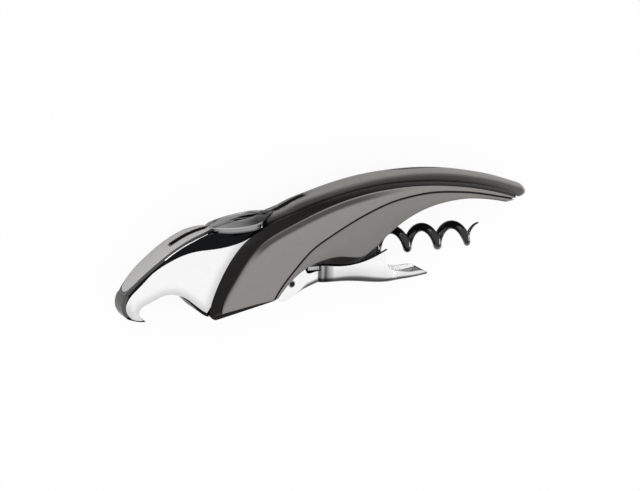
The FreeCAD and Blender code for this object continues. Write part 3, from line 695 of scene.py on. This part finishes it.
def makeLeafHalf(nodeName, side):
    solid = solidOf(nodeName)
    low, high = (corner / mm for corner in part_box(nodeName))
    middle = midHeight / mm
    fine, ends = leafFacts["fine"], leafFacts["ends"]
    inner = abs((low.z if side > 0 else high.z) - middle) + fine
    outer = abs((high.z if side > 0 else low.z) - middle)
    count = leafFacts["stations"]
    rimSteps, middleSteps = leafFacts["rimSteps"], leafFacts["middleSteps"]

    def crestAt(x, away):
        hit = hitOn(solid, (x, leafFacts["above"], middle + side * max(away, inner)), (0.0, -1.0, 0.0))
        return hit.y if hit else None

    stations = []
    for index in range(count + 1):
        x = between(low.x + ends, high.x - ends, index / count)
        if crestAt(x, inner) is None:
            continue
        edge = inner
        while edge + fine < outer and crestAt(x, edge + fine) is not None:
            edge += fine
        aways = [edge - min(step, leafFacts["rimMost"] * (edge - middleSteps[-1])) for step in rimSteps]
        for step in middleSteps:
            aways.append(min(aways[-1], max(step, middleSteps[-1])))
        stations.append((x, edge, aways))
    top = len(rimSteps) + len(middleSteps)
    columns = 2 * top

    def place(row, column):
        x, edge, aways = stations[row]
        slot = min(column, columns - 1 - column) if column < columns else 0
        away = aways[slot]
        if row in (0, len(stations) - 1):
            end = (x, crestAt(x, inner) - leafFacts["endDrop"], middle + side * middleSteps[-1])
            return end, leafFacts["underTone"]
        level = crestAt(x, away - fine / 2 if slot == 0 else away) or crestAt(x, edge - fine)
        level += leafArch(x)
        spotZ = middle + side * away
        if top <= column < columns:
            return (x, level - leafFacts["thick"], spotZ), leafFacts["underTone"]
        inward = edge - away
        drop = leafFacts["lipWall"] if inward == 0.0 else 0.0
        dished = ramp(inward, leafFacts["lip"], leafFacts["dishFrom"]) * ramp(edge, *leafFacts["dishOver"])
        drop += leafFacts["dish"] * dished
        drop += leafFacts["nickDeep"] * (1.0 - ramp(nickReach(x, away), leafFacts["nickFloor"], 1.0))
        return (x, level - drop, spotZ), leafTone(inward, x, away, side)

    metallic = finishes["dark_chrome"]["metallic"]
    piece = gridPiece(nodeName + "_leaf", len(stations) - 1, columns, place, metallic)
    smoothFaces(piece, leafFacts["smoothBelow"])
    standFor(piece, nodeName, shaded=True)


makeLeafHalf("thumb_rest_left", 1)
makeLeafHalf("thumb_rest_right", -1)
print("thumb rest ready")


# pieces that keep their CAD shape, with rounded edges, and some with painted shade

steep = 0.7  # share of a normal along Z, past which a face is a side wall
slotFacts = {
    "half": 1.2,  # mm on each side of the middle plane that are painted dark, as shade in the slot
    "past": 0.7,  # mm past the blade's end
}


def aside(spot):
    return abs(spot.z - midHeight / mm)


def inSlot(spot):
    return aside(spot) < slotFacts["half"] and spot.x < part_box("foil_blade")[1].x / mm + slotFacts["past"]


# painted shade on the spine cap: the slot painted dark, and the ridge darkening down its sides into a painted
# dark cove, less metallic there
capFacts = {
    "slotTone": 0.03,
    "darkFrom": (1.8, 3.5, -20.0, 10.0),  # mm from the middle plane, along X
    "darkAt": 4.5,
    "darkest": (0.14, 0.3, 42.0, 66.0),
    "polish": 0.4,
    "tailFrom": 65.0,
    "tailFade": 0.6,
    "tailBelow": 12.8,  # the ridge's end is drawn up below this height
    "tailShare": 0.5,
}


def ridgeTone(spot, normal):
    # painted shade: dark in the slot and darker down the ridge's sides
    if inSlot(spot):
        return capFacts["slotTone"], 0.0
    darkness = ramp(aside(spot), fading(capFacts["darkFrom"], spot.x), capFacts["darkAt"])
    darkest = fading(capFacts["darkest"], spot.x)
    return between(1.0, darkest, darkness), between(1.0, capFacts["polish"], darkness)


def drawInTail(spot):
    below = capFacts["tailBelow"] - spot.y
    if below <= 0.0 or spot.x < capFacts["tailFrom"]:
        return spot
    fade = ramp(spot.x, capFacts["tailFrom"], capFacts["tailFrom"] + capFacts["tailFade"])
    return Vector((spot.x, spot.y + below * (1.0 - capFacts["tailShare"]) * fade, spot.z))


bladeFacts = {
    # painted shade: the blade's back is painted dark, as shade in the slots
    "slotTone": 0.02,
    "flankTone": 0.9,
    "darkUntil": 0.7,  # mm below the back that is painted dark, as shade in the slot
    "brightFrom": 1.5,
    "leafMargins": (0.5, 2.0),  # mm in from the leaf's ends
    "leafGlow": 1.2,
    "liftOver": (6.0, 8.0),  # heights between which it takes up the leaf's arch
}
bladeSolid = solidOf("foil_blade")


def underLeaf(x):
    first, last = bladeFacts["leafMargins"]
    return leafEnds[0] + first < x < leafEnds[1] - last


def bladeTone(spot, normal):
    back = hitOn(bladeSolid, (spot.x, farOff, midHeight / mm), (0.0, -1.0, 0.0))
    below = back.y - spot.y if back else deepIn
    flank = ramp(below, bladeFacts["darkUntil"], bladeFacts["brightFrom"])
    # under the leaf the blade takes the leaf's painted reflection, a little brighter
    if underLeaf(spot.x):
        tone = bladeFacts["leafGlow"] * leafTone(deepIn, spot.x, aside(spot), 1)
        return between(tone, bladeFacts["flankTone"], flank), 1.0
    return between(bladeFacts["slotTone"], bladeFacts["flankTone"], flank), flank


def liftBlade(spot):
    rise = leafArch(spot.x) * ramp(spot.y, *bladeFacts["liftOver"])
    return Vector((spot.x, spot.y + rise, spot.z))


pinFacts = {
    "dotRadius": 0.82,
    "rimAt": 0.92,
    "dotTone": 0.3,
    "rimTone": 11.0,  # many times the pin's own dark steel
}


def pinTone(spot, normal):
    low, high = (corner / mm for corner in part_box("lever_pin"))
    out = math.dist((spot.x, spot.y), ((low.x + high.x) / 2, (low.y + high.y) / 2))
    steps = (pinFacts["dotTone"], pinFacts["rimTone"], pinFacts["dotRadius"], pinFacts["rimAt"])
    return fading(steps, out), 1.0


beakFacts = {
    "slotBefore": 1.5,  # mm that the slot's painted shade runs on past the blade
    "slotTone": 0.02,
    "sideFrom": 2.4,  # mm from the middle plane, past which a steep wall is the border
    # painted shade: the plate's steep side walls darkened into a dark line beside the trim bead, less metallic
    "sideTone": (0.12, 0.6),
    "tongue": 2.2,  # mm from the plate's lower end to where its rounded end begins
    "tongueHalf": 3.0,
    "tongueSteep": 1.7,  # the plate falls away there, so a step along X is this much longer on it
    "tongueEdge": 0.1,
    "rimWide": 0.5,
    "rimTone": 0.02,
    "cornerTone": 0.25,
    "cornerPolish": 0.4,
    "tipBefore": -48.0,
    "tipFrom": -16.4,  # the hook is drawn in below this height
    "tipShare": 0.5,
    "tipLean": 0.5,
}


def beakTone(spot, normal):
    # painted shade in the slot and on the steep side walls
    if inSlot(spot) and spot.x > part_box("foil_blade")[0].x / mm - beakFacts["slotBefore"]:
        return beakFacts["slotTone"], 0.0
    if abs(normal.z) > steep and aside(spot) > beakFacts["sideFrom"]:
        return beakFacts["sideTone"]
    inwards = spot.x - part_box("beak_plate")[0].x / mm - beakFacts["tongue"]
    if inwards > 0.0:
        return 1.0, 1.0
    out = math.hypot(inwards * beakFacts["tongueSteep"], aside(spot)) - beakFacts["tongueHalf"]
    outside = ramp(out, -beakFacts["tongueEdge"], beakFacts["tongueEdge"])
    corner = beakFacts["cornerTone"] if out > beakFacts["rimWide"] else beakFacts["rimTone"]
    return between(1.0, corner, outside), between(1.0, beakFacts["cornerPolish"], outside)


def drawInTip(spot):
    below = beakFacts["tipFrom"] - spot.y
    if below <= 0.0 or spot.x > beakFacts["tipBefore"]:
        return spot
    kept = below * beakFacts["tipShare"]
    return Vector((spot.x - beakFacts["tipLean"] * (below - kept), beakFacts["tipFrom"] - kept, spot.z))


def closestOn(spot, start, end):
    along = end - start
    share = max(0.0, min(1.0, (spot - start).dot(along) / max(along.length_squared, tiny)))
    return start + along * share


cheekFacts = {
    "facesDown": -0.15,
    "shade": (0.7, 1.0, 0.0, 2.8),  # painted shade along the lower edge, by mm from it
}


def makeCheekTone(nodeName):
    piece = copyNode(nodeName, "edgesOnly")
    runs = []
    for index, ends, normals in sharpEdges(piece):
        lowest = min(normal.y for normal in normals)
        if lowest < cheekFacts["facesDown"] and max(abs(normal.z) for normal in normals) > steep:
            runs.append([Vector((end.x, end.y)) for end in ends])
    bpy.data.objects.remove(piece)

    # painted shade: the mirror cheek darkens towards its lower, downward-facing edges
    def cheekTone(spot, normal):
        here = Vector((spot.x, spot.y))
        near = min((closestOn(here, start, end) - here).length for start, end in runs)
        return fading(cheekFacts["shade"], near), 1.0

    return cheekTone


chinFacts = {
    "tall": 0.5,  # mm that an upright edge is at least
    "before": -35.0,
    "below": -15.0,
    "width": 0.8,
}


def chinCorner(ends, normals):
    upright = abs(ends[0].z - ends[1].z) > chinFacts["tall"]
    return upright and max(ends[0].x, ends[1].x) < chinFacts["before"] and ends[0].y < chinFacts["below"]


roundings = {  # widths and slices in mm, angles in degrees
    "cheek_left": {
        "width": 0.3, "slices": (1.0, 1.0), "tone": makeCheekTone("cheek_left"), "move": drawInTip,
    },
    "cheek_right": {
        "width": 0.3, "slices": (1.0, 1.0), "tone": makeCheekTone("cheek_right"), "move": drawInTip,
    },
    "beak_plate": {"width": 0.25, "slices": (0.4, 0.4, 0.4), "tone": beakTone},
    "cap_lifter": {"width": 0.4, "slices": (1.0, 0.5), "move": drawInTip},
    "head_core": {"width": 0.3, "angle": 60.0, "slices": (1.0, 0.5), "move": drawInTip},
    "spine_cap": {"width": 0.15, "tone": ridgeTone, "flattened": False, "move": drawInTail},
    "handle_shell_left": {"width": 0.45, "first": (chinCorner, chinFacts["width"])},
    "handle_shell_right": {"width": 0.45, "first": (chinCorner, chinFacts["width"])},
    "lever_pin": {"width": 0.15, "slices": (0.15, 0.15), "tone": pinTone},
    "foil_blade": {"width": 0.1, "slices": (0.5, 0.5, 0.4), "tone": bladeTone, "move": liftBlade},
    "spine_inlay": {"width": 0.08},
    "spine_spacer": {"width": 0.2},
    "liner_left": {"width": 0.2},
    "liner_right": {"width": 0.2},
}


def roundedPiece(nodeName, facts):
    piece = copyNode(nodeName, nodeName + "_rounded", facts.get("flattened", True))
    if "first" in facts:
        roundSome(piece, facts["first"][1], facts["first"][0])
    roundEdges(piece, facts["width"])
    if "slices" in facts:
        sliceUp(piece, facts["slices"])
    if "move" in facts:
        for vertex in piece.data.vertices:
            vertex.co = facts["move"](vertex.co / mm) * mm
        piece.data.update()
    smoothFaces(piece, facts.get("angle", meshCare["smoothBelow"]))
    if "tone" in facts:
        paintShade(piece, facts["tone"], finishes[slotOfNode[nodeName]]["metallic"])
    standFor(piece, nodeName, "tone" in facts)


for nodeName, facts in roundings.items():
    roundedPiece(nodeName, facts)
print("rounded pieces ready")


# lever link and arm: bent sheet with a round lower edge, a knuckle at the joint and a deeper foot, painted
# with a dark reflection band, shade inside and highlights on the knuckle

leverFacts = {
    "slices": (0.5, 0.25, 0.3),
    "edge": 0.12,
    "inner": {"lever_link": 3.95, "lever_arm": 5.05},  # half the gap between the walls
    "round": {"lever_link": (0.3, 1.25, -10.5, -7.0), "lever_arm": (1.6, 0.7, 20.0, 34.0)},  # radius along X
    "roundMost": 0.48,  # share of the height that the lower edge's radius may take
    "inWall": 0.4,  # mm in from the outer face
    "ends": 0.05,  # mm in from its ends
    "nearWall": 0.05,
    "hair": 0.01,  # mm, less than any step
    "insideBy": 0.1,
    "facing": 0.5,  # share of a normal past which a face points that way
    "footFrom": 20.2,
    "footFloor": (0.8, 1.3),  # heights of the channel's floor
    "footDeeper": 0.5,
    "footRun": 2.0,
    "footWidth": (1.0, 0.71, 19.2, 27.0),  # share of the arm's width
    "knuckle": (1.2, 0.8, 1.6),  # lengths of the bead, the groove and the slope past them
    "knuckleDeep": 0.32,
    "bands": {
        "lever_link": ((-10.0, 0.0), (-6.0, 2.0), (1.0, 2.1)),
        "lever_arm": ((-3.0, 2.0), (12.0, 2.5), (34.0, 1.0)),
    },  # how tall the band of painted dark reflection along the lower edge is, along X
    "bandFrom": 0.55,  # share of the band that is at its darkest
    # tones: painted dark reflection under the lower edge and on top faces, a face painted lighter upwards,
    # painted shade inside the channel, painted light on the foot's far wall, painted highlights and shade
    # across the knuckle
    "underTone": 0.13,
    "faceLowTone": (0.74, 0.86, 8.0, 18.0),
    "faceTopTone": 1.02,
    "faceFrom": 0.7,
    "faceTall": 4.0,
    "innerTone": (0.12, 1.0),
    "footWallTone": (2.4, 0.2),
    "topTone": 0.3,
    "footTopTone": 0.5,
    "knuckleTones": (
        (0.0, 0.2), (0.5, 0.5), (0.9, 0.35), (1.3, 0.12),
        (2.0, 0.16), (2.6, 0.4), (3.4, 0.6), (4.6, 1.0),
    ),
}


def knuckleIn(run):
    bead, groove, fade = leverFacts["knuckle"]
    if run < bead:
        return leverFacts["knuckleDeep"] * (1.0 - math.sqrt(max(0.0, 1.0 - (2.0 * run / bead - 1.0) ** 2)))
    return leverFacts["knuckleDeep"] * (1.0 - ramp(run, bead + groove, bead + groove + fade))


def makeLever(nodeName):
    piece = copyNode(nodeName, nodeName + "_bent")
    roundEdges(piece, leverFacts["edge"])
    sliceUp(piece, leverFacts["slices"])
    solid = solidOf(nodeName)
    low, high = (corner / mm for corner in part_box(nodeName))
    middle = midHeight / mm
    outer = high.z - middle
    innerHalf = leverFacts["inner"][nodeName]
    isArm = nodeName == "lever_arm"
    footFrom = leverFacts["footFrom"]
    levels = {}

    def heightsAt(x):
        key = round(x, 1)
        if key not in levels:
            at = max(low.x + leverFacts["ends"], min(high.x - leverFacts["ends"], key))
            plane = high.z - leverFacts["inWall"]
            under = hitOn(solid, (at, -farOff, plane), (0.0, 1.0, 0.0))
            over = hitOn(solid, (at, farOff, plane), (0.0, -1.0, 0.0))
            levels[key] = (under.y, over.y) if under and over else None
        return levels[key]

    def footShare(x):
        return fading(leverFacts["footWidth"], x) if isArm else 1.0

    for vertex in piece.data.vertices:
        spot = vertex.co / mm
        heights = heightsAt(spot.x)
        if heights is None:
            continue
        side = 1.0 if spot.z > middle else -1.0
        depth = outer - aside(spot)
        rise = spot.y - heights[0]
        floorLow, floorHigh = leverFacts["footFloor"]
        inChannel = spot.x > footFrom and aside(spot) < innerHalf + leverFacts["nearWall"]
        if isArm and inChannel and floorLow < rise < floorHigh:
            rise -= leverFacts["footDeeper"] * ramp(spot.x, footFrom, footFrom + leverFacts["footRun"])
        if isArm and depth < outer - innerHalf - leverFacts["nearWall"]:
            depth += knuckleIn(spot.x - low.x) * (1.0 - depth / (outer - innerHalf))
        radius = fading(leverFacts["round"][nodeName], spot.x)
        radius = min(radius, leverFacts["roundMost"] * (heights[1] - heights[0]))
        if depth < radius and rise < radius:
            away = Vector((depth - radius, rise - radius))
            if away.length > tiny:
                away *= max(abs(away.x), abs(away.y)) / away.length
            depth, rise = radius + away.x, radius + away.y
        width = outer - depth
        if aside(spot) > innerHalf - leverFacts["hair"]:
            width = max(width, innerHalf)  # a wall's inner face stays where it is
        vertex.co = Vector((spot.x, heights[0] + rise, middle + side * width * footShare(spot.x))) * mm
    piece.data.update()

    # paints light and shade: the dark reflection band, the face lighter upwards, shade inside, light on the
    # foot's far wall, dark tops and the knuckle's highlights
    def leverTone(spot, normal):
        heights = heightsAt(spot.x)
        band = alongSteps(leverFacts["bands"][nodeName], spot.x)
        rise = spot.y - heights[0] if heights else deepIn
        start, end = leverFacts["bandFrom"] * band, band + leverFacts["hair"]
        tone = fading((leverFacts["underTone"], 1.0, start, end), rise)
        if isArm:
            lowTone = fading(leverFacts["faceLowTone"], spot.x)
            start, end = leverFacts["faceFrom"] * band, band + leverFacts["faceTall"]
            tone *= fading((lowTone, leverFacts["faceTopTone"], start, end), rise)
        isInside = aside(spot) < innerHalf * footShare(spot.x) + leverFacts["insideBy"]
        if isInside and normal.y > -leverFacts["facing"]:
            inFoot = isArm and spot.x > footFrom and abs(normal.z) > leverFacts["facing"]
            return leverFacts["footWallTone"] if inFoot else leverFacts["innerTone"]
        if normal.y > leverFacts["facing"]:
            tone = leverFacts["topTone"] if spot.x < footFrom else leverFacts["footTopTone"]
        if isArm:
            tone *= alongSteps(leverFacts["knuckleTones"], spot.x - low.x)
        return tone, 1.0

    smoothFaces(piece)
    paintShade(piece, leverTone, finishes["lever_chrome"]["metallic"])
    standFor(piece, nodeName, shaded=True)


makeLever("lever_link")
makeLever("lever_arm")
print("lever ready")


# small trims: beads along the beak plate, ridges in the lever's notch and dark lips under the belly

beadFacts = {
    "radius": 0.17,
    "roundSteps": 3,
    "run": (-52.0, -38.6),
    "points": 40,
    "plane": 2.0,  # mm from the middle plane, where the beak plate's top is found
    "sideOff": 20.0,
    "borderUnder": 0.4,
    "out": (0.08, 0.45, -47.0, -42.0),  # mm outside the plate's border, along X
    "under": 1.0,  # mm under its face
    "onLedge": 0.05,
    "smoothBelow": 50.0,
}


def beadLine(side):
    plate, core = solidOf("beak_plate"), solidOf("head_core")
    middle = midHeight / mm
    spots = []
    for index in range(beadFacts["points"]):
        x = between(*beadFacts["run"], index / (beadFacts["points"] - 1))
        top = hitOn(plate, (x, farOff, middle + side * beadFacts["plane"]), (0.0, -1.0, 0.0))
        start = top and (x, top.y - beadFacts["borderUnder"], middle + side * beadFacts["sideOff"])
        border = top and hitOn(plate, start, (0.0, 0.0, -side))
        if border:
            z = border.z + side * fading(beadFacts["out"], x)
            ledge = hitOn(core, (x, farOff, z), (0.0, -1.0, 0.0))
            under = top.y - beadFacts["under"]
            spots.append(Vector((x, max(under, ledge.y + beadFacts["onLedge"]) if ledge else under, z)))
    return spots


def makeBead(newName, spots, radius, slotName, bodyName):
    line = bpy.data.curves.new(newName, "CURVE")
    line.dimensions = "3D"
    line.bevel_depth = radius * mm
    line.bevel_resolution = beadFacts["roundSteps"]
    line.use_fill_caps = True
    run = line.splines.new("POLY")
    run.points.add(len(spots) - 1)
    for point, spot in zip(run.points, spots):
        point.co = (*(spot * mm), 1.0)
    bead = bpy.data.objects.new(newName, line)
    bpy.context.scene.collection.objects.link(bead)
    workOn(bead)
    bpy.ops.object.convert(target="MESH")
    bead = bpy.context.object
    smoothFaces(bead, beadFacts["smoothBelow"])
    dress(bead, slotName, bodyName)


notchFacts = {
    "pitch": 0.55,
    "count": 8,
    "radius": 0.24,
    "sides": 16,
    "from": -6.1,
    "levels": (-6.1, -5.0),
    "barThick": 0.6,
    "barIn": 0.6,  # mm in from the link's outer face
    "ridgeIn": 0.32,
}


def makeRidges(side):
    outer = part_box("lever_link")[1 if side > 0 else 0].z / mm
    low, high = notchFacts["levels"]
    pitch, first = notchFacts["pitch"], notchFacts["from"]
    long = pitch * notchFacts["count"]
    bpy.ops.object.select_all(action="DESELECT")
    bpy.ops.mesh.primitive_cube_add(size=1.0)
    bar = bpy.context.object
    bar.scale = Vector((long, high - low, notchFacts["barThick"])) * mm
    bar.location = Vector((first + long / 2, (low + high) / 2, outer - side * notchFacts["barIn"])) * mm
    parts = [bar]
    for index in range(notchFacts["count"]):
        x = first + (index + 0.5) * pitch
        place = Vector((x, (low + high) / 2, outer - side * notchFacts["ridgeIn"])) * mm
        bpy.ops.mesh.primitive_cylinder_add(
            vertices=notchFacts["sides"], radius=notchFacts["radius"] * mm, depth=(high - low) * mm,
            location=place, rotation=(math.pi / 2, 0.0, 0.0))
        parts.append(bpy.context.object)
    bpy.ops.object.select_all(action="DESELECT")
    for part in parts:
        part.select_set(True)
    bpy.context.view_layer.objects.active = bar
    bpy.ops.object.join()
    bar.name = "notch_ridges_" + ("left" if side > 0 else "right")
    bpy.ops.object.transform_apply(location=True, rotation=True, scale=True)
    smoothFaces(bar)
    dress(bar, "dark_chrome", "link")


lipFacts = {
    "run": (7.0, 17.6),
    "rows": 24,
    "planes": (4.68, 4.96),  # between the worm's room and the lever's arm
    "shellIn": 1.0,  # mm in from the outer faces, where the belly and the arm are found
    "armIn": 0.5,
    "intoBelly": 0.7,
    "behindArm": 0.5,
    "leastTall": 0.1,
    "pointed": 1.2,
}


def makeBellyLip(side):
    shell, arm = solidOf("handle_shell_left"), solidOf("lever_arm")
    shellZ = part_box("handle_shell_left")[1].z / mm - lipFacts["shellIn"]
    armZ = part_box("lever_arm")[1].z / mm - lipFacts["armIn"]
    first, last = lipFacts["run"]
    rows = lipFacts["rows"]
    near, far = (midHeight / mm + side * away for away in lipFacts["planes"])

    def place(row, column):
        x = between(first, last, row / rows)
        belly = hitOn(shell, (x, -farOff, shellZ), (0.0, 1.0, 0.0)).y + lipFacts["intoBelly"]
        least = belly - lipFacts["leastTall"]
        low = min(least, hitOn(arm, (x, farOff, armZ), (0.0, -1.0, 0.0)).y - lipFacts["behindArm"])
        low = between(low, least, ramp(x, last - lipFacts["pointed"], last))
        corners = ((belly, near), (low, near), (low, far), (belly, far), (belly, near))
        if row in (0, rows):
            return (x, (belly + low) / 2, (near + far) / 2), 1.0
        return (x, *corners[column]), 1.0

    metallic = finishes["frame_steel"]["metallic"]
    lip = gridPiece("belly_lip_" + ("left" if side > 0 else "right"), rows, 4, place, metallic)
    smoothFaces(lip)
    dress(lip, "frame_steel", "handle")


for sideName, side in (("left", 1), ("right", -1)):
    makeBead("beak_trim_" + sideName, beadLine(side), beadFacts["radius"], "mirror_chrome", "handle")
    makeRidges(side)
    makeBellyLip(side)
print("trims ready")
